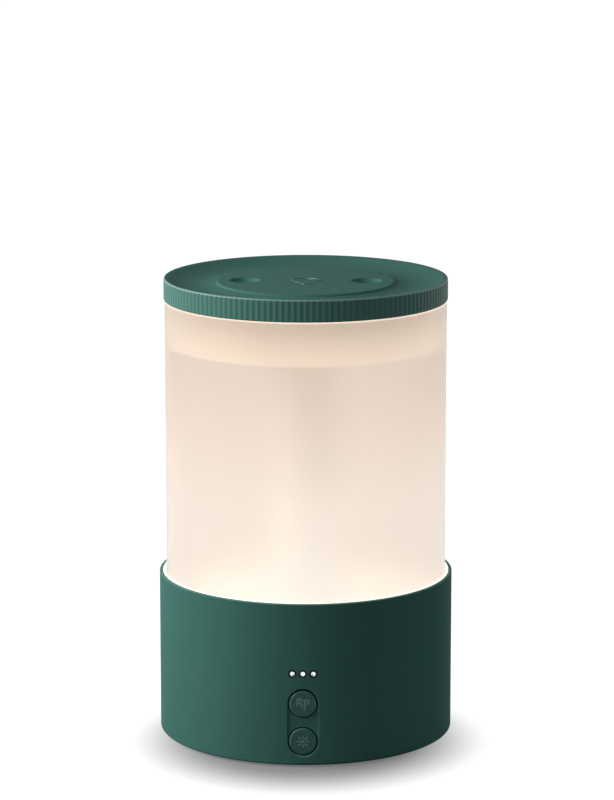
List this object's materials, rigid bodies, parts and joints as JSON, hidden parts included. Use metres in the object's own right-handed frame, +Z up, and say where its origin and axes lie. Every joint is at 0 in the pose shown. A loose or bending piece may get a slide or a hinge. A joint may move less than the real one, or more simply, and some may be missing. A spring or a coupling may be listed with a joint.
{
  "type": "cool mist humidifier",
  "caption": "Round tabletop cool mist humidifier: base with push buttons, lift-out frosted tank and a dished lid with twin mist outlets.",
  "frame": {"origin": "on the table, under the centre of the base, at the lower faces of the feet", "axes": "+Z up, -Y towards the user, out of the controls; +X to the user's right"},
  "size_m": [0.15, 0.15, 0.2353],
  "materials": {
    "green_plastic": "moulded, fine spark texture",
    "white_plastic": "moulded, satin",
    "dark_plastic": "moulded, satin",
    "frosted_plastic": "frosted, translucent",
    "clear_plastic": "clear, polished",
    "rubber": "matt",
    "silicone": "matt, translucent",
    "steel": "zinc plated",
    "aluminium": "brushed",
    "brass": "turned",
    "copper": "enamelled wire",
    "magnet": "sintered",
    "ceramic": "fired ceramic with a metal film",
    "circuit_board": "lacquered",
    "foam": "open-cell foam",
    "lead_cover": "smooth",
    "capacitor_sleeve": "shrink sleeve"
  },
  "bodies": {
    "base": {"base_shell": "green_plastic", "bottom_cover": "dark_plastic", "foot_pads": "rubber", "bottom_screws": "steel", "water_basin": "white_plastic", "transducer_disc": "ceramic", "transducer_seal": "silicone", "transducer_clamp": "aluminium", "transducer_screws": "steel", "float_clip": "white_plastic", "level_sensor": "dark_plastic", "light_board": "circuit_board", "light_leds": "clear_plastic", "light_board_screws": "steel", "fan_frame": "dark_plastic", "fan_bearing": "brass", "fan_stator": "steel", "fan_screws": "steel", "intake_filter": "foam", "fan_gasket": "foam", "air_duct": "white_plastic", "driver_board": "circuit_board", "driver_heatsink": "aluminium", "driver_capacitors": "capacitor_sleeve", "driver_coil": "copper", "driver_connectors": "white_plastic", "driver_screws": "steel", "button_board": "circuit_board", "tact_switches": "dark_plastic", "indicator_leds": "clear_plastic", "indicator_lenses": "clear_plastic", "button_board_screws": "steel", "power_inlet": "dark_plastic", "inlet_pin": "brass", "inlet_nut": "brass", "internal_leads": "lead_cover"},
    "fan_rotor": {"fan_rotor": "dark_plastic", "fan_shaft": "steel", "fan_magnet": "magnet"},
    "float": {"float_body": "white_plastic", "float_magnet": "magnet"},
    "mist_button": {"mist_button": "green_plastic", "mist_switch_plunger": "dark_plastic"},
    "light_button": {"light_button": "green_plastic", "light_switch_plunger": "dark_plastic"},
    "tank": {"tank_wall": "frosted_plastic", "tank_floor": "frosted_plastic", "mist_tube": "white_plastic", "tube_seal": "silicone", "tube_lock_ring": "white_plastic", "valve_guide": "white_plastic", "valve_spring": "steel"},
    "valve": {"valve_plunger": "white_plastic", "valve_seal": "silicone"},
    "lid": {"lid_cap": "green_plastic", "lid_liner": "white_plastic", "lid_seal": "silicone", "lid_screws": "steel", "left_outlet": "green_plastic", "right_outlet": "green_plastic"}
  },
  "joints": [
    {"name": "tank_lift", "type": "slide", "parent": "base", "child": "tank", "axis": [0, 0, 1], "range_m": [0, 0.06]},
    {"name": "lid_lift", "type": "slide", "parent": "tank", "child": "lid", "axis": [0, 0, 1], "range_m": [0, 0.05]},
    {"name": "valve_close", "type": "slide", "parent": "tank", "child": "valve", "axis": [0, 0, -1], "range_m": [0, 0.0029], "deforming": ["valve_spring"]},
    {"name": "mist_button_press", "type": "slide", "parent": "base", "child": "mist_button", "axis": [0, 1, 0], "range_m": [0, 0.0008], "stiffness_N_per_m": 800},
    {"name": "light_button_press", "type": "slide", "parent": "base", "child": "light_button", "axis": [0, 1, 0], "range_m": [0, 0.0008], "stiffness_N_per_m": 800},
    {"name": "fan_spin", "type": "hinge", "parent": "base", "child": "fan_rotor", "pos_m": [0.03825, 0, 0.02], "axis": [0, 0, 1], "continuous": true},
    {"name": "float_rise", "type": "slide", "parent": "base", "child": "float", "axis": [0, 0, 1], "range_m": [0, 0.0034]}
  ],
  "couplings": [
    {"joint": "valve_close", "follows": "tank_lift", "ratio": 0.048333}
  ]
}
